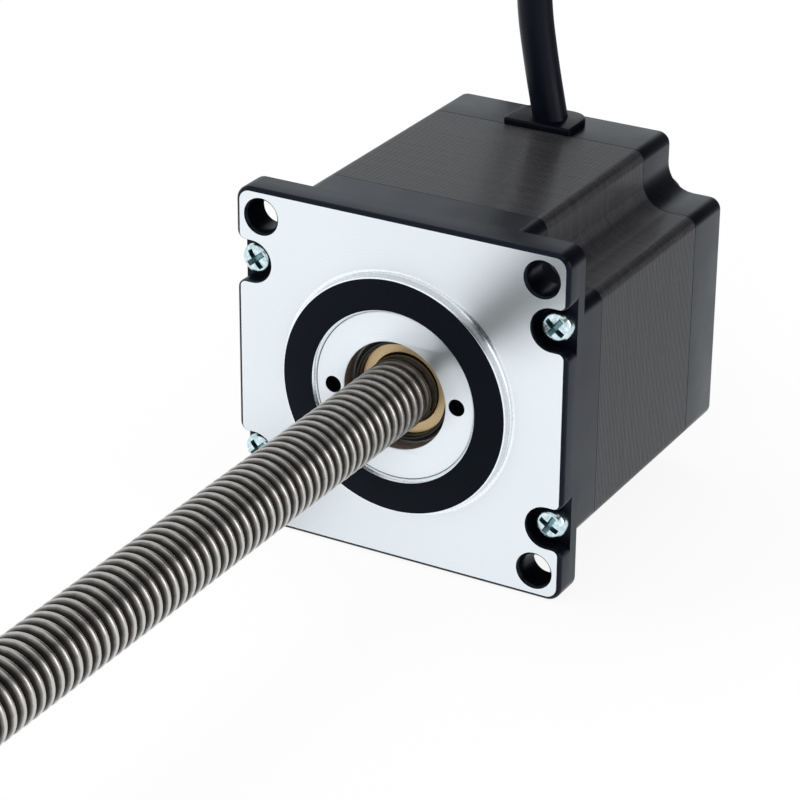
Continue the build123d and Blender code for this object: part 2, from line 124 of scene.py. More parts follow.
def axisDistance(tree, place):
    # Distance from the motor axis, in millimetres
    parts = addNode(tree, "ShaderNodeSeparateXYZ", links={"Vector": place})
    flat = addNode(tree, "ShaderNodeCombineXYZ", links={"X": parts.outputs["X"], "Z": parts.outputs["Z"]})
    length = addNode(tree, "ShaderNodeVectorMath", {"operation": "LENGTH"}, {0: flat.outputs["Vector"]})
    scaled = addNode(
        tree, "ShaderNodeMath", {"operation": "MULTIPLY", 1: 1 / mm}, {0: length.outputs["Value"]}
    )
    return scaled.outputs["Value"]


turnedAluminium = {
    "light": "#F6F9FB",
    "dark": "#EEF2F5",
    "groove": 0.12,  # spacing of the facing marks; real ones are about 0.05 and would not show
    "depth": 0.0008,
    "roughness": (0.43, 0.49),
}


def makeTurnedAluminium():
    # Die-cast aluminium faced on a lathe: marks run round the axis and pull highlights out along the radius
    settings = {"Metallic": 1.0, "Anisotropic": 1.0, "Anisotropic Rotation": 0.25}
    material, tree, shader, place = newMaterial("facedAluminium", settings)
    rings = addNode(
        tree, "ShaderNodeMath", {"operation": "MULTIPLY", 1: 1 / turnedAluminium["groove"]},
        {0: axisDistance(tree, place)},
    )
    marks = addNode(
        tree, "ShaderNodeTexNoise", {"noise_dimensions": "1D", "Scale": 1.0, "Detail": 2.0},
        {"W": rings.outputs["Value"]},
    ).outputs["Fac"]
    coverSurface(
        tree, shader,
        tones=(marks, [(0.3, turnedAluminium["dark"]), (0.7, turnedAluminium["light"])]),
        shine=(marks, (0.3, 0.7), turnedAluminium["roughness"]),
        relief=(marks, 0.4, turnedAluminium["depth"]),
        turned=True,
    )
    return material


enamel = {"peel": 1400.0, "cloud": 120.0, "grain": 2600.0}  # per metre: 0.7, 8 and 0.4 mm


def makeSatinPaint():
    # Black stoved enamel on a die casting: satin, with a faint orange peel
    # the bluish specular tint is a painted blue cast on the paint's reflections
    settings = {"IOR": 1.27, "Specular Tint": fromHex("#CCD8FF")}
    material, tree, shader, place = newMaterial("blackEnamel", settings)
    peel = addNode(tree, "ShaderNodeTexNoise", {"Scale": enamel["peel"], "Detail": 2.0}, {"Vector": place})
    cloud = addNode(tree, "ShaderNodeTexNoise", {"Scale": enamel["cloud"], "Detail": 4.0}, {"Vector": place})
    coverSurface(
        tree, shader,
        tones=(cloud.outputs["Fac"], [(0.3, "#05070B"), (0.75, "#080A10")]),
        shine=(cloud.outputs["Fac"], (0.3, 0.7), (0.26, 0.36)),
        relief=(peel.outputs["Fac"], 0.25, 0.006),
    )
    return material


def makeMattPaint():
    # The same enamel left unpolished on the pilot's end: flat black. In the retainer's spanner holes the same
    # black is painted shade
    material, tree, shader, place = newMaterial("mattBlackEnamelAndHoleShade", {"Roughness": 0.6, "IOR": 1.13})
    grain = addNode(
        tree, "ShaderNodeTexNoise", {"Scale": enamel["grain"], "Detail": 2.0}, {"Vector": place}
    ).outputs["Fac"]
    coverSurface(
        tree, shader, tones=(grain, [(0.3, "#0B0E14"), (0.75, "#0F131B")]), shine=None,
        relief=(grain, 0.35, 0.008),
    )
    return material


sheetEdges = {
    "sheet": 0.5,  # each band this wide has its own tone
    "own": 0.25,  # how much of the pattern that tone is
    "grain": (0.9, 0.12, 0.9),  # the grain's size along each axis
}


def makeSheetSteel():
    # Stamped electrical steel, blackened: the cut edges of the sheets, dull grey with fine grain
    settings = {"Metallic": 0.45, "IOR": 1.36, "Anisotropic": 0.8, "Anisotropic Rotation": 0.25}
    material, tree, shader, place = newMaterial("siliconSteel", settings)
    parts = addNode(tree, "ShaderNodeSeparateXYZ", links={"Vector": place})
    sheet = addNode(
        tree, "ShaderNodeMath", {"operation": "MULTIPLY", 1: 1 / (sheetEdges["sheet"] * mm)},
        {0: parts.outputs["Y"]},
    )
    whole = addNode(tree, "ShaderNodeMath", {"operation": "FLOOR"}, {0: sheet.outputs["Value"]})
    each = addNode(tree, "ShaderNodeTexWhiteNoise", {"noise_dimensions": "1D"}, {"W": whole.outputs["Value"]})
    stretched = addNode(
        tree, "ShaderNodeMapping", {"Scale": tuple(1 / (size * mm) for size in sheetEdges["grain"])},
        {"Vector": place},
    )
    grain = addNode(
        tree, "ShaderNodeTexNoise", {"Scale": 1.0, "Detail": 3.0, "Roughness": 0.5},
        {"Vector": stretched.outputs["Vector"]},
    )
    mixed = addNode(
        tree, "ShaderNodeMath", {"operation": "MULTIPLY_ADD", 1: sheetEdges["own"]},
        {0: each.outputs["Value"], 2: grain.outputs["Fac"]},
    ).outputs["Value"]
    coverSurface(
        tree, shader,
        tones=(mixed, [(0.3, "#262527"), (0.62, "#323133"), (0.95, "#413F41")]),
        shine=(mixed, (0.3, 0.9), (0.27, 0.35)),
        relief=(mixed, 0.3, 0.01),
        turned=True,
    )
    return material


rolledThread = {
    "dark": 4.7,  # radius where the painted shade in the roots is darkest
    "bright": 5.5,
    "streaks": 800.0,  # per metre: 1.3 mm
    "streaked": 0.22,  # how much of the pattern the streaks are
}


def makeScrewSteel():
    # Rolled stainless thread: burnished crests, with the colour darkening to brown-black in the roots as
    # painted shade
    material, tree, shader, place = newMaterial("rolledStainless", {"Metallic": 1.0})
    height = addNode(
        tree, "ShaderNodeMapRange", {"From Min": rolledThread["dark"], "From Max": rolledThread["bright"]},
        {"Value": axisDistance(tree, place)},
    )
    streak = addNode(
        tree, "ShaderNodeTexNoise", {"Scale": rolledThread["streaks"], "Detail": 4.0}, {"Vector": place}
    ).outputs["Fac"]
    mixed = addNode(
        tree, "ShaderNodeMath",
        {"operation": "MULTIPLY_ADD", 1: rolledThread["streaked"], "use_clamp": True},
        {0: streak, 2: height.outputs["Result"]},
    ).outputs["Value"]
    coverSurface(
        tree, shader,
        # the near-black stops towards the roots are painted shade
        tones=(mixed, [(0.1, "#151210"), (0.6, "#302B28"), (0.88, "#77736F"), (1.0, "#B4B1AD")]),
        shine=(mixed, (0.1, 1.0), (0.5, 0.35)),
        relief=(streak, 0.3, 0.01),
    )
    return material


def makeSimpleMetal(name, low, high, roughness, grainSize, metallic=1.0):
    # Ground, plated or turned metal with a fine even grain
    material, tree, shader, place = newMaterial(name, {"Metallic": metallic})
    grain = addNode(
        tree, "ShaderNodeTexNoise", {"Scale": 1 / (grainSize * mm), "Detail": 3.0}, {"Vector": place}
    ).outputs["Fac"]
    coverSurface(
        tree, shader,
        tones=(grain, [(0.3, low), (0.7, high)]),
        shine=(grain, (0.3, 0.7), (roughness - 0.05, roughness + 0.05)),
        relief=(grain, 0.2, 0.006),
    )
    return material


def makePlastic(name, low, high, roughness, grainSize, depth, shine=1.45):
    # Moulded or extruded plastic and rubber, with a fine skin texture on broader clouds
    material, tree, shader, place = newMaterial(name, {"IOR": shine})
    grain = addNode(
        tree, "ShaderNodeTexNoise", {"Scale": 1 / (grainSize * mm), "Detail": 3.0}, {"Vector": place}
    ).outputs["Fac"]
    cloud = addNode(
        tree, "ShaderNodeTexNoise", {"Scale": 1 / (8 * grainSize * mm), "Detail": 2.0}, {"Vector": place}
    ).outputs["Fac"]
    coverSurface(
        tree, shader,
        tones=(cloud, [(0.3, low), (0.7, high)]),
        shine=(cloud, (0.3, 0.7), (roughness - 0.05, roughness + 0.06)),
        relief=(grain, 0.3, depth),
    )
    return material


facedAluminium = makeTurnedAluminium()
blackEnamel = makeSatinPaint()
mattEnamelAndHoleShade = makeMattPaint()
sheetSteel = makeSheetSteel()
rolledSteel = makeScrewSteel()
# Metals: darker and lighter colour, roughness, grain in millimetres and, if not bare metal, how metallic
zincPlate = makeSimpleMetal("brightZincPlate", "#9DB8BC", "#DDE6E8", 0.22, 0.5)
# painted shade for the Phillips recesses: the same zinc, darker
paintedShadeZinc = makeSimpleMetal("zincWithPaintedShade", "#587B80", "#8BA9AE", 0.34, 0.4)
turnedBrass = makeSimpleMetal("turnedBrass", "#D2B483", "#E2C79B", 0.42, 0.25, 0.5)
blackSteel = makeSimpleMetal("blackenedSteel", "#1F1E1F", "#302F30", 0.36, 0.3, 0.6)
# the retainer's bore wall: aluminium tinted brown as a painted reflection of the brass nut, and lightened as
# painted light on a shaded wall
boreWithPaintedReflection = makeSimpleMetal("boreWithPaintedReflection", "#6E6458", "#8A7E70", 0.45, 0.3, 0.35)
groundSteel = makeSimpleMetal("groundBearingSteel", "#9C9D9F", "#C4C5C7", 0.2, 0.4)
brightRim = makeSimpleMetal("burnishedAluminium", "#D8DBDD", "#E8EAEB", 0.17, 0.3)
copperWire = makeSimpleMetal("enamelledCopper", "#8E4A22", "#B8652F", 0.3, 0.35)
magnetGrey = makeSimpleMetal("sinteredMagnet", "#3A3A3C", "#4C4C4F", 0.5, 0.3)
# Plastics: darker and lighter colour, roughness, grain and its depth in millimetres and, if not 1.45, IOR
nylonFormer = makePlastic("mouldedNylon", "#CFC9B6", "#DAD5C5", 0.5, 0.3, 0.01)
jacketPvc = makePlastic("extrudedPvc", "#020510", "#040816", 0.34, 0.6, 0.012, 1.2)
glandRubber = makePlastic("mouldedRubber", "#03050B", "#06080F", 0.3, 0.5, 0.01, 1.17)
sleevePvc = makePlastic("shrunkSleeve", "#0C0C0D", "#141415", 0.45, 0.4, 0.01)
leadPvc = makePlastic("leadInsulation", "#1A1A1C", "#262628", 0.4, 0.4, 0.006)
plugNylon = makePlastic("plugNylon", "#141416", "#1E1E21", 0.5, 0.3, 0.01)
print("materials made")


camera = {
    "place": (201.917, -358.258, 194.266),
    "aim": (0.481, 0.0, -0.926),
    "roll": 0.426,  # degrees
    "lens": 137.14,
}


def makeCamera():
    data = bpy.data.cameras.new("camera")
    data.lens = camera["lens"]
    data.sensor_width = 36.0
    data.clip_start = 0.01
    data.clip_end = 20.0
    obj = addObject("camera", data)
    obj.location = Vector(camera["place"]) * mm
    look = (Vector(camera["aim"]) - Vector(camera["place"])).to_track_quat("-Z", "Y")
    obj.rotation_mode = "QUATERNION"
    obj.rotation_quaternion = look @ Quaternion((0, 0, 1), math.radians(camera["roll"]))
    bpy.context.scene.camera = obj


cable = {
    "exit": (0.55, 47.4, 29.1),  # where it leaves the gland; its foot is sunk a little deeper
    "route": [
        (0.84, 47.36, 27.84),
        (0.55, 47.4, 29.1),
        (-1.4, 47.7, 37.50),
        (-3.1, 47.6, 48.0),
        (-3.6, 48.5, 64.0),
        (-4.7, 51.8, 81.50),
        (-10.5, 62.9, 97.0),
        (-20.3, 81.5, 105.0),
        (-30.7, 102.0, 102.0),
        (-40.2, 116.2, 88.0),
        (-44.4, 122.8, 66.0),
        (-43.3, 123.4, 34.0),
        (-39.8, 125.4, 5.16),
        (-36.0, 122.5, -6.27),
        (-29.2, 117.1, -15.02),
        (-20.1, 110.1, -19.75),
    ],
    "coilCentre": (-32.4, 84.7),
    "turnRadius": 27.5,
    "pointsPerTurn": 16,
    "landing": 52.3,  # degrees round the coil, where the cable comes down onto the upper layer
    "firstPoint": 14.0,  # degrees past the landing
    "slope": (260.0, 350.0),  # degrees past the landing, where the cable goes down to the lower layer
    "wound": 592.3,  # degrees in the coil
    "tail": [(7.0, 2.85), (14.0, 3.1), (22.4, 3.1)],  # distance from the coil and height above the floor
    "length": 0.571,  # metres, from the gland to the sleeve
}


def coilPoints():
    # The wound turns, clockwise from above, the upper layer first
    points = []
    first = cable["firstPoint"]
    count = round((cable["wound"] - first) / 360 * cable["pointsPerTurn"])
    step = (cable["wound"] - first) / count
    outward = cable["turnRadius"] / math.cos(math.radians(step / 2))
    slopeStart, slopeEnd = cable["slope"]
    for number in range(count + 1):
        gone = first + number * step
        down = min(max((gone - slopeStart) / (slopeEnd - slopeStart), 0), 1)
        angle = math.radians(cable["landing"] - gone)
        points.append((
            cable["coilCentre"][0] + outward * math.cos(angle),
            cable["coilCentre"][1] + outward * math.sin(angle),
            floorLevel + cableRadius * (3 - 2 * down),
        ))
    return points


def tailPoints():
    # The last stretch runs straight back from the coil's left side
    x = cable["coilCentre"][0] - cable["turnRadius"]
    y = cable["coilCentre"][1]
    return [(x, y + distance, floorLevel + height) for distance, height in cable["tail"]]


def makeCable():
    points = cable["route"] + coilPoints() + tailPoints()
    data = bpy.data.curves.new("cable", "CURVE")
    data.dimensions = "3D"
    spline = data.splines.new("NURBS")
    spline.points.add(len(points) - 1)
    for point, place in zip(spline.points, points):
        point.co = (*(v * mm for v in place), 1.0)
    spline.order_u = 3
    spline.use_endpoint_u = True
    spline.resolution_u = 12
    data.bevel_depth = cableRadius * mm
    data.bevel_resolution = 8
    data.use_fill_caps = True
    obj = addObject("cable", data)
    data.materials.append(jacketPvc)
    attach(obj, "housing")
    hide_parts("cable_lead", "cable_coil", "cable_tail")


makeCamera()
makeCable()
print("camera and cable made")


def filletLoop(corners, steps=8):
    # Closed loop of points with each (x, z, radius) corner rounded
    loop = []
    for number, (x, z, radius) in enumerate(corners):
        here = Vector((x, z))
        before = Vector(corners[number - 1][:2])
        after = Vector(corners[(number + 1) % len(corners)][:2])
        toBefore = (before - here).normalized()
        toAfter = (after - here).normalized()
        if radius < 1e-6:
            loop.append((x, z))
            continue
        half = toBefore.angle(toAfter) / 2
        reach = radius / math.tan(half)
        start = here + toBefore * reach
        end = here + toAfter * reach
        centre = here + (toBefore + toAfter).normalized() * (radius / math.sin(half))
        first = start - centre
        turn = first.angle_signed(end - centre)
        for step in range(steps + 1):
            angle = -turn * step / steps
            loop.append((
                centre.x + first.x * math.cos(angle) - first.y * math.sin(angle),
                centre.y + first.x * math.sin(angle) + first.y * math.cos(angle),
            ))
    return loop


def circleLoop(x, z, radius, steps=48):
    return [
        (x + radius * math.cos(2 * math.pi * n / steps), z + radius * math.sin(2 * math.pi * n / steps))
        for n in range(steps)
    ]


class Shell:
    # Vertices and faces of one piece, in millimetres, with a material number for each face

    def __init__(self):
        self.points = []
        self.faces = []
        self.slots = []

    def addLoop(self, loop, y):
        first = len(self.points)
        self.points += [(x, y, z) for x, z in loop]
        return list(range(first, first + len(loop)))

    def addFace(self, indices, slot):
        self.faces.append(indices)
        self.slots.append(slot)

    def addStrip(self, one, other, slot):
        # Band of faces between two loops with the same number of points
        count = len(one)
        for n in range(count):
            m = (n + 1) % count
            self.addFace([one[n], one[m], other[m], other[n]], slot)

    def addStrips(self, loops, slot):
        for one, other in zip(loops, loops[1:]):
            self.addStrip(one, other, slot)

    def addFlat(self, loops, slot):
        # Flat face with holes: the first loop is its edge
        spots = [[Vector(self.points[i]) for i in loop] for loop in loops]
        order = [i for loop in loops for i in loop]
        for triangle in tessellate_polygon(spots):
            self.addFace([order[i] for i in triangle], slot)

    def addTurned(self, profile, slots, steps=128, closed=False):
        # Surface turned about the motor axis from (radius, y) points, one slot for each stretch
        rings = [self.addLoop(circleLoop(0, 0, radius, steps), y) for radius, y in profile]
        pairs = list(zip(rings, rings[1:]))
        if closed:
            pairs.append((rings[-1], rings[0]))
        for number, (one, other) in enumerate(pairs):
            self.addStrip(one, other, slots[min(number, len(slots) - 1)])
        return rings

    def build(self, name, materials, body, replaced, sharpAngle=32.0, outside=True):
        mesh = bpy.data.meshes.new(name)
        mesh.from_pydata([[v * mm for v in p] for p in self.points], [], self.faces)
        for material in materials:
            mesh.materials.append(material)
        mesh.polygons.foreach_set("material_index", self.slots)
        work = bmesh.new()
        work.from_mesh(mesh)
        bmesh.ops.remove_doubles(work, verts=work.verts, dist=1e-7)
        if outside:
            bmesh.ops.recalc_face_normals(work, faces=work.faces)
        work.to_mesh(mesh)
        work.free()
        mesh.shade_smooth()
        mesh.set_sharp_from_angle(angle=math.radians(sharpAngle))
        obj = addObject(name, mesh)
        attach(obj, body)
        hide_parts(*replaced)
        return obj


housing = {
    "lobeHalf": 18.8,
    "lobeCorner": 1.9,
    "notch": 4.4,
    "seam": (0.1, 0.12),  # how far in and how wide the caps' edges at the stack are
}


def housingLoop(inset=0.0):
    # The notched outline that both caps and the stack share, drawn in by an inset
    side = halfSide - inset
    lobe = housing["lobeHalf"] - inset
    convex = max(housing["lobeCorner"] - inset, smallestRound)
    concave = housing["notch"] + inset
    quarter = [(side, lobe, convex), (lobe, lobe, concave), (lobe, side, convex)]
    corners = []
    for sx, sz, turned in ((1, 1, False), (-1, 1, True), (-1, -1, False), (1, -1, True)):
        points = [(x * sx, z * sz, r) for x, z, r in quarter]
        corners += points[::-1] if turned else points
    return filletLoop(corners)


frontCap = {
    "thickness": 5.0,
    "corner": 2.4,
    "bevel": 0.65,
    "holeSpacing": 47.14,
    "holeRadius": 2.55,
    "holeRim": [(0.45, 0.0), (0.12, 0.3), (0.0, 0.55)],  # out from the hole's wall, and depth
    "screwAt": (25.3, 16.0),
    "pocketRadius": 3.3,
    "pocketBevel": 0.25,  # how much of the bevel's width the pockets have
    "pocketDepth": 3.0,
    "lipRound": 1.55,
    "pilotRadius": 19.05,
    "pilotHeight": 1.6,
    # the fine step at the pilot's foot: out from its wall, and y
    "pilotFoot": [
        (0.72, 0.0), (0.66, -0.05), (0.34, -0.07), (0.28, -0.02), (0.16, -0.02), (0.06, -0.14), (0.0, -0.3),
    ],
    "pilotEdge": [(0.0, 0.28), (0.05, 0.1)],  # in from the wall, and back from the pilot's end
    "blackOuter": 18.81,
    "blackInner": 13.87,
    "seatMouth": [(0.04, 0.5), (0.0, 0.75)],  # out from the seat's wall, and back from the pilot's end
    "seatRadius": 13.45,
    "seatFloor": 2.05,
    # bearing seat, its lip, the hub and the hollow round it: radius and y
    "inside": [
        (13.02, 2.05), (13.02, 7.05), (11.8, 7.05), (11.8, 8.05), (15.2, 8.05), (15.2, 3.6), (25.5, 3.6),
        (25.5, 11.0),
    ],
    "floorHole": 20.0,  # openings in the two layers of the flange that lie hidden inside
    "backHole": 17.0,
}


def flangeLoop(inset, pockets):
    # Square flange outline, with or without the open pockets for the screw heads
    side = halfSide - inset
    corner = frontCap["corner"] - inset
    x, z = frontCap["screwAt"]
    reach = frontCap["pocketRadius"] + inset * frontCap["pocketBevel"]
    deep = x - reach
    lip = frontCap["lipRound"] - inset
    pocket = [
        (side, z - reach, lip),
        (deep, z - reach, reach),
        (deep, z + reach, reach),
        (side, z + reach, lip),
    ]
    right = [(side, -side, corner)]
    if pockets:
        right += [(px, -pz, r) for px, pz, r in reversed(pocket)] + pocket
    right.append((side, side, corner))
    left = [(-px, -pz, r) for px, pz, r in right]
    return filletLoop(right + left, steps=10)


def frontBevel():
    # Rounded paint bevel between the machined face and the flange's side: (inset, depth)
    bevel = frontCap["bevel"]
    return [
        (bevel * (1 - math.sin(math.radians(a))), bevel * (1 - math.cos(math.radians(a))))
        for a in (0, 20, 45, 70, 90)
    ]


def makeFrontCap():
    shell = Shell()
    face, paint, matt, bright = 0, 1, 2, 3
    rings = [shell.addLoop(flangeLoop(inset, True), depth) for inset, depth in frontBevel()]
    rings.append(shell.addLoop(flangeLoop(0, True), frontCap["pocketDepth"]))
    shell.addStrips(rings, paint)
    # mounting holes, each with a painted rim inside the bright face
    half = frontCap["holeSpacing"] / 2
    wall = frontCap["holeRadius"]
    levels = [(wall + out, depth) for out, depth in frontCap["holeRim"]] + [(wall, frontCap["thickness"])]
    holeRings = []
    backHoles = []
    seatHoles = []
    for x in (-half, half):
        for z in (-half, half):
            hole = [shell.addLoop(circleLoop(x, z, radius), depth) for radius, depth in levels]
            shell.addStrips(hole, paint)
            holeRings.append(hole[0])
            backHoles.append(hole[-1])
            seatHoles.append(shell.addLoop(circleLoop(x, z, wall), frontCap["pocketDepth"]))
    # pilot: a fine step at its foot, a bright wall, a flat black end and the bright seat of the retainer
    radius = frontCap["pilotRadius"]
    top = -frontCap["pilotHeight"]
    seat = frontCap["seatRadius"]
    profile = [(radius + out, y) for out, y in frontCap["pilotFoot"]]
    profile += [(radius - inward, top + depth) for inward, depth in frontCap["pilotEdge"]]
    profile += [(frontCap["blackOuter"], top), (frontCap["blackInner"], top)]
    profile += [(seat + out, top + depth) for out, depth in frontCap["seatMouth"]]
    profile += [(seat, frontCap["seatFloor"])] + frontCap["inside"]
    slots = [bright] * 9 + [matt] + [bright] * 3 + [paint] * 8
    turned = shell.addTurned(profile, slots)
    shell.addFlat([rings[0], turned[0]] + holeRings, face)
    # pocket floors and the plain part of the flange behind them
    pocketFloor = frontCap["pocketDepth"]
    backEdge = frontCap["thickness"]
    plainFront = shell.addLoop(flangeLoop(0, False), pocketFloor)
    innerFront = shell.addLoop(circleLoop(0, 0, frontCap["floorHole"]), pocketFloor)
    shell.addFlat([plainFront, innerFront] + seatHoles, paint)
    plainBack = shell.addLoop(flangeLoop(0, False), backEdge)
    shell.addStrip(plainFront, plainBack, paint)
    skirtFront = shell.addLoop(housingLoop(), backEdge)
    backHole = shell.addLoop(circleLoop(0, 0, frontCap["backHole"]), backEdge)
    shell.addFlat([plainBack, backHole] + backHoles, paint)
    seamIn, seamWidth = housing["seam"]
    skirtBack = shell.addLoop(housingLoop(), stackFront - seamWidth)
    skirtEdge = shell.addLoop(housingLoop(seamIn), stackFront)
    shell.addStrips([skirtFront, skirtBack, skirtEdge], paint)
    shell.addFlat([skirtEdge, turned[-1]], paint)
    materials = [facedAluminium, blackEnamel, mattEnamelAndHoleShade, brightRim]
    return shell.build("frontCap", materials, "housing", ["front_end_cap"], outside=False)


sheets = {
    "count": 65,
    "gap": 0.035,  # depth of the groove between two sheets
    "jitter": 0.008,
    "edge": 0.14,  # share of a sheet's thickness that slopes into the groove
    "bore": 23.0,
}


def makeStack():
    # The sheets' edges stand a few thousandths of a millimetre in or out from each other
    random.seed(4)
    shell = Shell()
    pitch = (stackBack - stackFront) / sheets["count"]
    previous = None
    first = None
    for number in range(sheets["count"]):
        inset = random.uniform(0, sheets["jitter"])
        start = stackFront + number * pitch
        edge = pitch * sheets["edge"]
        for y, extra in ((start, sheets["gap"]), (start + edge, 0), (start + pitch - edge, 0)):
            ring = shell.addLoop(housingLoop(inset + extra), y)
            if previous:
                shell.addStrip(previous, ring, 0)
            else:
                first = ring
            previous = ring
    last = shell.addLoop(housingLoop(sheets["gap"]), stackBack)
    shell.addStrip(previous, last, 0)
    bore = [shell.addLoop(circleLoop(0, 0, sheets["bore"], 96), y) for y in (stackFront, stackBack)]
    shell.addStrips(bore, 0)
    shell.addFlat([first, bore[0]], 0)
    shell.addFlat([last, bore[1]], 0)
    replaced = ["stator_laminations"]
    return shell.build("statorStack", [sheetSteel], "housing", replaced, outside=False)


rearCap = {
    "edge": 0.8,
    "window": 11.15,
    "windowEdge": 0.3,
    "lip": 1.0,
    "seat": 13.02,
    "seatDepth": 6.95,  # these depths are from the motor's back
    "hub": 15.2,
    "hubFoot": 3.5,
    "hollow": 25.5,
}


def makeRearCap():
    shell = Shell()
    edge = rearCap["edge"]
    seamIn, seamWidth = housing["seam"]
    profile = [(seamIn, stackBack), (0.0, stackBack + seamWidth)]
    profile += [
        (edge * (1 - math.cos(math.radians(a))), motorBack - edge + edge * math.sin(math.radians(a)))
        for a in (0, 22, 45, 68, 90)
    ]
    rings = [shell.addLoop(housingLoop(inset), y) for inset, y in profile]
    shell.addStrips(rings, 0)
    bore = [
        (rearCap["window"] + rearCap["windowEdge"], motorBack),
        (rearCap["window"], motorBack - rearCap["windowEdge"]),
        (rearCap["window"], motorBack - rearCap["lip"]),
        (rearCap["seat"], motorBack - rearCap["lip"]),
        (rearCap["seat"], motorBack - rearCap["seatDepth"]),
        (rearCap["hub"], motorBack - rearCap["seatDepth"]),
        (rearCap["hub"], motorBack - rearCap["hubFoot"]),
        (rearCap["hollow"], motorBack - rearCap["hubFoot"]),
        (rearCap["hollow"], stackBack),
    ]
    turned = shell.addTurned(bore, [0])
    shell.addFlat([rings[-1], turned[0]], 0)
    shell.addFlat([rings[0], turned[-1]], 0)
    return shell.build("rearCap", [blackEnamel], "housing", ["rear_end_cap"], outside=False)


makeFrontCap()
makeStack()
makeRearCap()
print("caps and stack made")


retainer = {
    "front": -0.95,
    "back": 2.05,
    "radius": 13.38,
    "edge": [(0.14, 0.0), (0.03, 0.08), (0.0, 0.25)],  # in from the outside, and back from the front
    "bore": 8.67,
    "boreEdge": [(0.14, 0.0), (0.04, 0.05), (0.0, 0.16)],
    "holeRadius": 1.38,
    "holeEdge": (0.04, 0.05),  # in and back
    "holeCircle": 10.56,
    "holeTurn": 3.0,  # degrees
    "holeDepth": 2.0,
}


def makeRetainer():
    shell = Shell()
    face, boreWall, hole = 0, 1, 2
    front = retainer["front"]
    outer = retainer["radius"]
    bore = retainer["bore"]
    outside = [(outer - inward, front + depth) for inward, depth in retainer["edge"]]
    outside.append((outer, retainer["back"]))
    inside = [(bore + out, front + depth) for out, depth in retainer["boreEdge"]]
    inside.append((bore, retainer["back"]))
    outerRings = shell.addTurned(outside, [face])
    # the bore wall takes the painted reflection of the brass nut
    innerRings = shell.addTurned(inside, [face, face, boreWall])
    holeIn, holeBack = retainer["holeEdge"]
    wallRadius = retainer["holeRadius"] - holeIn
    holes = []
    for turn in (retainer["holeTurn"], retainer["holeTurn"] + 180):
        x = retainer["holeCircle"] * math.cos(math.radians(turn))
        z = retainer["holeCircle"] * math.sin(math.radians(turn))
        rim = shell.addLoop(circleLoop(x, z, retainer["holeRadius"], 36), front)
        wall = shell.addLoop(circleLoop(x, z, wallRadius, 36), front + holeBack)
        foot = shell.addLoop(circleLoop(x, z, wallRadius, 36), front + retainer["holeDepth"])
        shell.addStrip(rim, wall, face)
        # the spanner holes' walls and floor are black: painted shade
        shell.addStrip(wall, foot, hole)
        shell.addFlat([foot], hole)
        holes.append(rim)
    shell.addFlat([outerRings[0], innerRings[0]] + holes, face)
    shell.addFlat([outerRings[-1], innerRings[-1]], face)
    materials = [facedAluminium, boreWithPaintedReflection, mattEnamelAndHoleShade]
    replaced = ["retainer_ring"]
    return shell.build("retainerRing", materials, "housing", replaced, outside=False)


hollowShaft = {
    # radius and y, out of the nut's seat, then down the outside and back through the bore
    "nutSeat": [(7.08, 24.6), (7.08, 3.4), (7.36, 3.4), (7.36, 1.7)],
    "outside": [
        (8.1, 2.06), (8.47, 2.06), (8.47, 7.05), (9.5, 7.05), (9.5, 46.55), (8.47, 46.55), (8.47, 52.65),
        (8.2, 52.93),
    ],
    "bore": [(6.5, 52.93), (6.22, 52.7), (6.22, 24.6)],
    "lip": (7.74, 1.5),  # centre of the rounded lip between them
    "lipRound": (0.36, 0.4),  # across and along the axis
}


def makeShaft():
    # The shaft's end is a rounded lip with a seat for the nut's collar
    shell = Shell()
    lipRadius, lipPlace = hollowShaft["lip"]
    across, along = hollowShaft["lipRound"]
    profile = list(hollowShaft["nutSeat"])
    for a in range(0, 181, 20):
        lean = math.radians(a)
        profile.append((lipRadius - across * math.cos(lean), lipPlace - along * math.sin(lean)))
    profile += hollowShaft["outside"] + hollowShaft["bore"]
    shell.addTurned(profile, [0], closed=True)
    return shell.build("hollowShaft", [blackSteel], "rotor", ["hollow_shaft"])


driveNut = {
    "front": 2.45,
    "back": 24.6,
    "outer": 7.05,
    "collar": 7.33,
    "collarEnd": 3.35,
    "edge": (0.1, 0.12),  # in and back
    "mouth": (5.78, 5.68),  # radius at the face and just inside
    "root": 5.95,
    "crest": 5.62,
    "pitch": 2.0,
    "threadStart": 0.5,
    "thread": [("crest", 0.0), ("crest", 0.3), ("root", 0.5), ("root", 0.7)],  # shares of the pitch
}


def makeNut():
    # Turned face and collar, and plain rings that stand for the thread in its mouth
    shell = Shell()
    front = driveNut["front"]
    edgeIn, edgeBack = driveNut["edge"]
    mouthOuter, mouthInner = driveNut["mouth"]
    profile = [
        (driveNut["outer"], driveNut["back"]),
        (driveNut["outer"], driveNut["collarEnd"]),
        (driveNut["collar"], driveNut["collarEnd"]),
        (driveNut["collar"], front + edgeBack),
        (driveNut["collar"] - edgeIn, front),
        (mouthOuter, front),
        (mouthInner, front + edgeBack),
    ]
    pitch = driveNut["pitch"]
    start = front + driveNut["threadStart"]
    while start < driveNut["back"] - pitch:
        profile += [(driveNut[part], start + pitch * share) for part, share in driveNut["thread"]]
        start += pitch
    profile.append((driveNut["crest"], driveNut["back"]))
    shell.addTurned(profile, [0], closed=True)
    return shell.build("driveNut", [turnedBrass], "rotor", ["drive_nut"])


makeRetainer()
makeShaft()
makeNut()
print("retainer, shaft and nut made")


leadScrew = {
    "front": -158.0,
    "back": 92.0,
    "pitch": 2.0,
    "crest": 5.48,
    "root": 4.7,
    "fullness": 0.52,  # below 1 the crests are wider than the roots
    "phase": 0.03,  # turns
    "steps": 56,
    "rowsPerPitch": 12,
    "point": 1.0,
}


def threadRadius(along):
    # Rounded crest and root of the rolled thread, along one pitch from 0 to 1
    wave = 0.5 + 0.5 * math.cos(2 * math.pi * along)
    shaped = wave ** leadScrew["fullness"]
    return leadScrew["root"] + (leadScrew["crest"] - leadScrew["root"]) * shaped


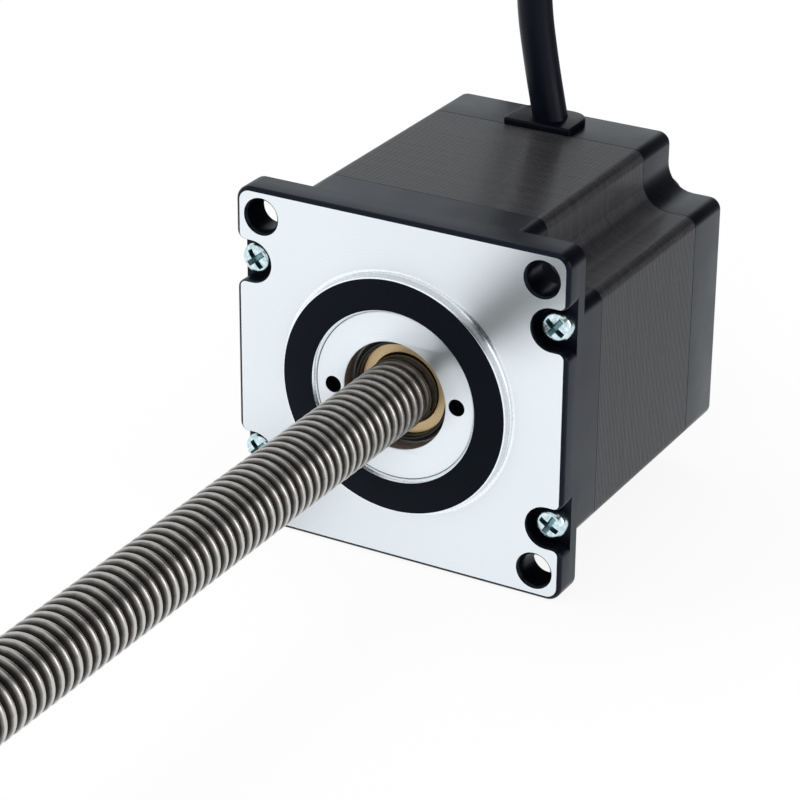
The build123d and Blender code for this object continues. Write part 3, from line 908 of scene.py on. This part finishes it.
def makeLeadScrew():
    # Right-hand, single-start: one turn along +Y for each turn from +Z towards +X
    shell = Shell()
    steps = leadScrew["steps"]
    pitch = leadScrew["pitch"]
    length = leadScrew["back"] - leadScrew["front"]
    rows = round(length / pitch * leadScrew["rowsPerPitch"])
    previous = None
    for row in range(rows + 1):
        y = leadScrew["front"] + length * row / rows
        toEnd = min(y - leadScrew["front"], leadScrew["back"] - y)
        limit = leadScrew["crest"] - max(leadScrew["point"] - toEnd, 0)
        first = len(shell.points)
        for step in range(steps):
            turn = 2 * math.pi * step / steps
            radius = min(threadRadius(y / pitch - step / steps + leadScrew["phase"]), limit)
            shell.points.append((radius * math.sin(turn), y, radius * math.cos(turn)))
        ring = list(range(first, first + steps))
        if previous:
            shell.addStrip(previous, ring, 0)
        else:
            shell.addFace(ring, 0)
        previous = ring
    shell.addFace(previous, 0)
    replaced = ["lead_screw"]
    return shell.build("leadScrew", [rolledSteel], "travelling_screw", replaced, 50.0)


makeLeadScrew()
print("lead screw made")


capScrew = {
    "headRadius": 2.43,
    "headRound": 0.75,
    "crown": [(0.02, 0.0), (1.2, 0.03)],  # radius and depth, slightly domed
    "crownDrop": 0.18,
    "top": 0.9,
    "seat": 3.0,
    "shankRadius": 1.48,
    "shankPast": 4.8,  # how far it goes into the rear cap
    "crossWidth": 0.85,
    "crossReach": 1.75,
    "crossDepth": 1.3,
    "crossAbove": 0.4,
    "crossTaper": (1.2, 0.5),  # size above the head and at the foot
    "paintedShadeDepths": (0.3, 1.35),  # depths between which the recess gets painted shade
    "paintedShadeRadius": 2.1,
    "turns": (38.0, 52.0, 60.0, 44.0),  # degrees, as the four were left
}


def crossCutter(turn, x, z):
    # Tapered cross, wide at the head's face and narrow at its foot
    mesh = bpy.data.meshes.new("cutter")
    work = bmesh.new()
    side = math.radians(turn)
    above, foot = capScrew["crossTaper"]
    rings = []
    for depth, grow in ((-capScrew["crossAbove"], above), (capScrew["crossDepth"], foot)):
        reach = capScrew["crossReach"] * grow
        half = capScrew["crossWidth"] / 2 * (0.4 + 0.6 * grow)  # tapers less than the reach
        arm = [(reach, -half), (reach, half), (half, half)]
        ring = []
        for quarter in range(4):
            for u, w in arm:
                angle = side + quarter * math.pi / 2
                across = u * math.cos(angle) - w * math.sin(angle)
                up = u * math.sin(angle) + w * math.cos(angle)
                ring.append(work.verts.new(Vector((x + across, capScrew["top"] + depth, z + up)) * mm))
        rings.append(ring)
    work.faces.new(rings[0])
    work.faces.new(rings[1])
    count = len(rings[0])
    for n in range(count):
        m = (n + 1) % count
        work.faces.new([rings[0][n], rings[0][m], rings[1][m], rings[1][n]])
    bmesh.ops.recalc_face_normals(work, faces=work.faces)
    work.to_mesh(mesh)
    work.free()
    return mesh


def makeCapScrews():
    x0, z0 = frontCap["screwAt"]
    places = [(-x0, z0), (x0, z0), (x0, -z0), (-x0, -z0)]
    top = capScrew["top"]
    seat = capScrew["seat"]
    radius = capScrew["headRadius"]
    bend = capScrew["headRound"]
    shank = capScrew["shankRadius"]
    end = stackBack + capScrew["shankPast"]
    profile = [(r, top + depth) for r, depth in capScrew["crown"]]
    for a in (0, 15, 30, 45, 60, 75, 90):
        across = radius - bend + bend * math.sin(math.radians(a))
        profile.append((across, top + capScrew["crownDrop"] + bend * (1 - math.cos(math.radians(a)))))
    profile += [(radius, seat), (shank, seat), (shank, end), (profile[0][0], end)]
    for number, ((x, z), turn) in enumerate(zip(places, capScrew["turns"]), 1):
        shell = Shell()
        rings = [shell.addLoop(circleLoop(x, z, r, 40), y) for r, y in profile]
        shell.addStrips(rings, 0)
        shell.addFace(rings[0], 0)
        shell.addFace(rings[-1], 0)
        materials = [zincPlate, paintedShadeZinc]
        obj = shell.build(f"capScrew{number}", materials, "housing", ["clamp_screws"])
        cutter = addObject("cutter", crossCutter(turn, x, z))
        cut = obj.modifiers.new("cross", "BOOLEAN")
        cut.operation = "DIFFERENCE"
        cut.solver = "EXACT"
        cut.object = cutter
        bpy.context.view_layer.update()
        done = bpy.data.meshes.new_from_object(obj.evaluated_get(bpy.context.evaluated_depsgraph_get()))
        obj.modifiers.clear()
        obj.data = done
        bpy.data.objects.remove(cutter)
        obj.data.set_sharp_from_angle(angle=math.radians(28))
        # painted shade: the recess would mirror its own dark walls, and a darker zinc colour stands in for
        # that shade
        shallow, deep = capScrew["paintedShadeDepths"]
        for polygon in obj.data.polygons:
            middle = polygon.center / mm
            aside = math.hypot(middle.x - x, middle.z - z)
            if aside < capScrew["paintedShadeRadius"] and shallow < middle.y - top < deep:
                polygon.material_index = 1


makeCapScrews()
print("clamping screws made")


gland = {
    "centre": (0.15, 47.4),
    "width": 11.6,
    "length": 8.2,
    "thickness": 1.1,
    "rearRound": 3.2,
    "frontRound": 0.4,
    "edge": 0.3,
    "foot": 1.2,  # how far it reaches into the housing
}


def glandLoop(inset):
    x, y = gland["centre"]
    half = gland["width"] / 2 - inset
    front = y - gland["length"] / 2 + inset
    back = y + gland["length"] / 2 - inset
    frontRound = max(gland["frontRound"] - inset, smallestRound)
    rearRound = gland["rearRound"] - inset
    return filletLoop([
        (x - half, front, frontRound),
        (x + half, front, frontRound),
        (x + half, back, rearRound),
        (x - half, back, rearRound),
    ])


def makeGland():
    shell = Shell()
    top = halfSide + gland["thickness"]
    edge = gland["edge"]
    levels = [(0.0, halfSide - gland["foot"]), (0.0, halfSide), (0.0, top - edge)]
    for a in (30, 60, 90):
        lean = math.radians(a)
        levels.append((edge * (1 - math.cos(lean)), top - edge + edge * math.sin(lean)))
    rings = []
    for inset, z in levels:
        first = len(shell.points)
        loop = glandLoop(inset)
        shell.points += [(x, y, z) for x, y in loop]
        rings.append(list(range(first, first + len(loop))))
    shell.addStrips(rings, 0)
    shell.addFace(rings[0], 0)
    shell.addFace(rings[-1], 0)
    return shell.build("cableGland", [glandRubber], "housing", ["cable_gland"])


makeGland()
print("cable gland made")


# CAD nodes that stay as they are, each with its own finish
keptFinishes = {
    "stator_windings": copperWire,
    "rotor_magnet": magnetGrey,
    "spring_washer": groundSteel,
    "cable_cores": leadPvc,
    "lead_wires": leadPvc,
    "cable_end_sleeve": sleevePvc,
    "cable_connector": plugNylon,
}
for end in ("front", "rear"):
    keptFinishes[f"{end}_winding_insulator"] = nylonFormer
    keptFinishes[f"{end}_rotor_cup"] = sheetSteel
    for part in ("outer_ring", "inner_ring", "balls", "cage", "shields"):
        keptFinishes[f"{end}_bearing_{part}"] = groundSteel
for node, material in keptFinishes.items():
    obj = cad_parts[node]
    obj.data.materials.clear()
    obj.data.materials.append(material)
print("kept nodes finished")


studio = {
    "diffuse": 0.7,
    "inReflections": 1.36,
    "reflectionTint": (0.93, 0.97, 1.0, 1.0),
    "floor": "#F4F4F4",
    "floorHalf": 3000.0,
    "floorGap": 0.02,  # how far below the motor it lies
    "floorOwnLight": 0.9,
    "floorInReflections": (1.36, 1.14),  # in front of the motor and behind it
    "floorChange": (-20.0, 30.0),
    "floorDark": (180.0, 280.0),  # far behind the motor it falls away
    "floorFarLevel": 0.15,
    # round each direction reflections fall to the level, from the edge to the core (cosines)
    "darkZones": [
        {"toward": (-0.2, -0.2, 0.95), "edge": 0.5, "core": 0.95, "level": 0.75},
        {"toward": (0.50, 0.70, 0.51), "edge": 0.70, "core": 0.86, "level": 0.06},
        {"toward": (-0.3, 0.9, 0.35), "edge": 0.2, "core": 0.9, "level": 0.84},
    ],
    # a dark gap between the lights, from the front up to the right
    "darkGap": {
        "across": (-0.695, 0.0, 0.719),
        "along": (0.72, -0.35, 0.69),
        "core": 0.11,
        "edge": 0.2,
        "fade": (0.1, 0.35),  # along the gap, where it begins
    },
}


def makeFloor():
    # Inputs 2 and 3 of a Mix node are its two numbers, 6 and 7 its two colours
    material = bpy.data.materials.new("paleFloor")
    material.use_nodes = True
    tree = material.node_tree
    tree.nodes.clear()
    lit = addNode(tree, "ShaderNodeBsdfDiffuse", {"Color": fromHex(studio["floor"])})
    path = addNode(tree, "ShaderNodeLightPath")
    place = addNode(tree, "ShaderNodeTexCoord").outputs["Object"]
    along = addNode(tree, "ShaderNodeSeparateXYZ", links={"Vector": place}).outputs["Y"]
    near, far = studio["floorInReflections"]
    mirrored = addNode(
        tree, "ShaderNodeMapRange",
        {"From Min": studio["floorChange"][0] * mm, "From Max": studio["floorChange"][1] * mm,
         "To Min": near, "To Max": far},
        {"Value": along},
    )
    fallen = addNode(
        tree, "ShaderNodeMapRange",
        {"From Min": studio["floorDark"][0] * mm, "From Max": studio["floorDark"][1] * mm,
         "To Min": 1.0, "To Max": studio["floorFarLevel"]},
        {"Value": along},
    )
    mirrored = addNode(
        tree, "ShaderNodeMath", {"operation": "MULTIPLY"},
        {0: mirrored.outputs["Result"], 1: fallen.outputs["Result"]},
    )
    glow = addNode(
        tree, "ShaderNodeMix", {"data_type": "FLOAT", 3: 1.0},
        {0: path.outputs["Is Camera Ray"], 2: mirrored.outputs["Value"]},
    )
    tint = addNode(
        tree, "ShaderNodeMix", {"data_type": "RGBA", 6: studio["reflectionTint"], 7: (1, 1, 1, 1)},
        {0: path.outputs["Is Camera Ray"]},
    )
    white = addNode(
        tree, "ShaderNodeEmission", links={"Color": tint.outputs[2], "Strength": glow.outputs[0]}
    )
    blend = addNode(
        tree, "ShaderNodeMixShader", {"Fac": studio["floorOwnLight"]},
        {1: lit.outputs["BSDF"], 2: white.outputs["Emission"]},
    )
    seen = addNode(
        tree, "ShaderNodeMath", {"operation": "MAXIMUM"},
        {0: path.outputs["Is Camera Ray"], 1: path.outputs["Is Glossy Ray"]},
    )
    seen = addNode(
        tree, "ShaderNodeMath", {"operation": "MAXIMUM"},
        {0: seen.outputs["Value"], 1: path.outputs["Is Transmission Ray"]},
    )
    surface = addNode(
        tree, "ShaderNodeMixShader",
        links={0: seen.outputs["Value"], 1: lit.outputs["BSDF"], 2: blend.outputs["Shader"]},
    )
    addNode(tree, "ShaderNodeOutputMaterial", links={"Surface": surface.outputs["Shader"]})
    mesh = bpy.data.meshes.new("floor")
    half = studio["floorHalf"] * mm
    level = (floorLevel - studio["floorGap"]) * mm
    corners = [(-half, -half, level), (half, -half, level), (half, half, level), (-half, half, level)]
    mesh.from_pydata(corners, [], [(0, 1, 2, 3)])
    mesh.materials.append(material)
    obj = addObject("floor", mesh)


def darkZone(tree, way, zone):
    # Factor that falls from 1 to the zone's own level round its direction
    unit = Vector(zone["toward"]).normalized()
    dot = addNode(tree, "ShaderNodeVectorMath", {"operation": "DOT_PRODUCT", 1: unit}, {0: way})
    edge = addNode(
        tree, "ShaderNodeMapRange",
        {"interpolation_type": "SMOOTHSTEP", "From Min": zone["edge"], "From Max": zone["core"],
         "To Min": 1.0, "To Max": zone["level"]},
        {"Value": dot.outputs["Value"]},
    )
    return edge.outputs["Result"]


def darkGap(tree, way, gap):
    # Factor that is 0 along half of a great circle and 1 away from it
    across = addNode(
        tree, "ShaderNodeVectorMath", {"operation": "DOT_PRODUCT", 1: Vector(gap["across"])}, {0: way}
    )
    off = addNode(tree, "ShaderNodeMath", {"operation": "ABSOLUTE"}, {0: across.outputs["Value"]})
    beside = addNode(
        tree, "ShaderNodeMapRange",
        {"interpolation_type": "SMOOTHSTEP", "From Min": gap["core"], "From Max": gap["edge"],
         "To Min": 0.0, "To Max": 1.0},
        {"Value": off.outputs["Value"]},
    )
    unit = Vector(gap["along"]).normalized()
    along = addNode(tree, "ShaderNodeVectorMath", {"operation": "DOT_PRODUCT", 1: unit}, {0: way})
    beyond = addNode(
        tree, "ShaderNodeMapRange",
        {"interpolation_type": "SMOOTHSTEP", "From Min": gap["fade"][0], "From Max": gap["fade"][1],
         "To Min": 1.0, "To Max": 0.0},
        {"Value": along.outputs["Value"]},
    )
    both = addNode(
        tree, "ShaderNodeMath", {"operation": "MAXIMUM"},
        {0: beside.outputs["Result"], 1: beyond.outputs["Result"]},
    )
    return both.outputs["Value"]


def makeWorld():
    # A white studio. Shiny surfaces also see the dark parts of the room round it
    world = bpy.data.worlds.new("studio")
    world.use_nodes = True
    bpy.context.scene.world = world
    tree = world.node_tree
    tree.nodes.clear()
    way = addNode(tree, "ShaderNodeTexCoord").outputs["Generated"]
    gap = darkGap(tree, way, studio["darkGap"])
    room = addNode(tree, "ShaderNodeMath", {"operation": "MULTIPLY", 1: studio["inReflections"]}, {0: gap})
    for zone in studio["darkZones"]:
        zoned = darkZone(tree, way, zone)
        room = addNode(
            tree, "ShaderNodeMath", {"operation": "MULTIPLY"}, {0: room.outputs["Value"], 1: zoned}
        )
    path = addNode(tree, "ShaderNodeLightPath")
    light = addNode(
        tree, "ShaderNodeMix", {"data_type": "FLOAT", 2: studio["diffuse"]},
        {0: path.outputs["Is Glossy Ray"], 3: room.outputs["Value"]},
    )
    seen = addNode(
        tree, "ShaderNodeMath", {"operation": "MAXIMUM"},
        {0: path.outputs["Is Camera Ray"], 1: path.outputs["Is Transmission Ray"]},
    )
    strength = addNode(
        tree, "ShaderNodeMix", {"data_type": "FLOAT", 3: 1.0}, {0: seen.outputs["Value"], 2: light.outputs[0]}
    )
    tint = addNode(
        tree, "ShaderNodeMix", {"data_type": "RGBA", 6: (1, 1, 1, 1), 7: studio["reflectionTint"]},
        {0: path.outputs["Is Glossy Ray"]},
    )
    shine = addNode(
        tree, "ShaderNodeBackground", links={"Color": tint.outputs[2], "Strength": strength.outputs[0]}
    )
    addNode(tree, "ShaderNodeOutputWorld", links={"Surface": shine.outputs["Background"]})


lamps = [
    {"name": "topSoftbox", "place": (-350, 150, 900), "size": (700, 700), "power": 3.5, "mirrored": False},
    {"name": "leftSoftbox", "place": (-800, -450, 350), "size": (500, 700), "power": 4.0, "mirrored": False},
    {"name": "rightSoftbox", "place": (850, 100, 260), "size": (500, 500), "power": 2.0, "mirrored": True},
]


def makeLamps():
    for settings in lamps:
        data = bpy.data.lights.new(settings["name"], "AREA")
        data.shape = "RECTANGLE"
        data.size = settings["size"][0] * mm
        data.size_y = settings["size"][1] * mm
        data.energy = settings["power"]
        obj = addObject(settings["name"], data)
        obj.location = Vector(settings["place"]) * mm
        obj.rotation_mode = "QUATERNION"
        obj.rotation_quaternion = (-Vector(settings["place"])).to_track_quat("-Z", "Y")
        obj.visible_glossy = settings["mirrored"]


makeFloor()
makeWorld()
makeLamps()
bpy.context.scene.view_settings.view_transform = "Standard"
print("studio made")
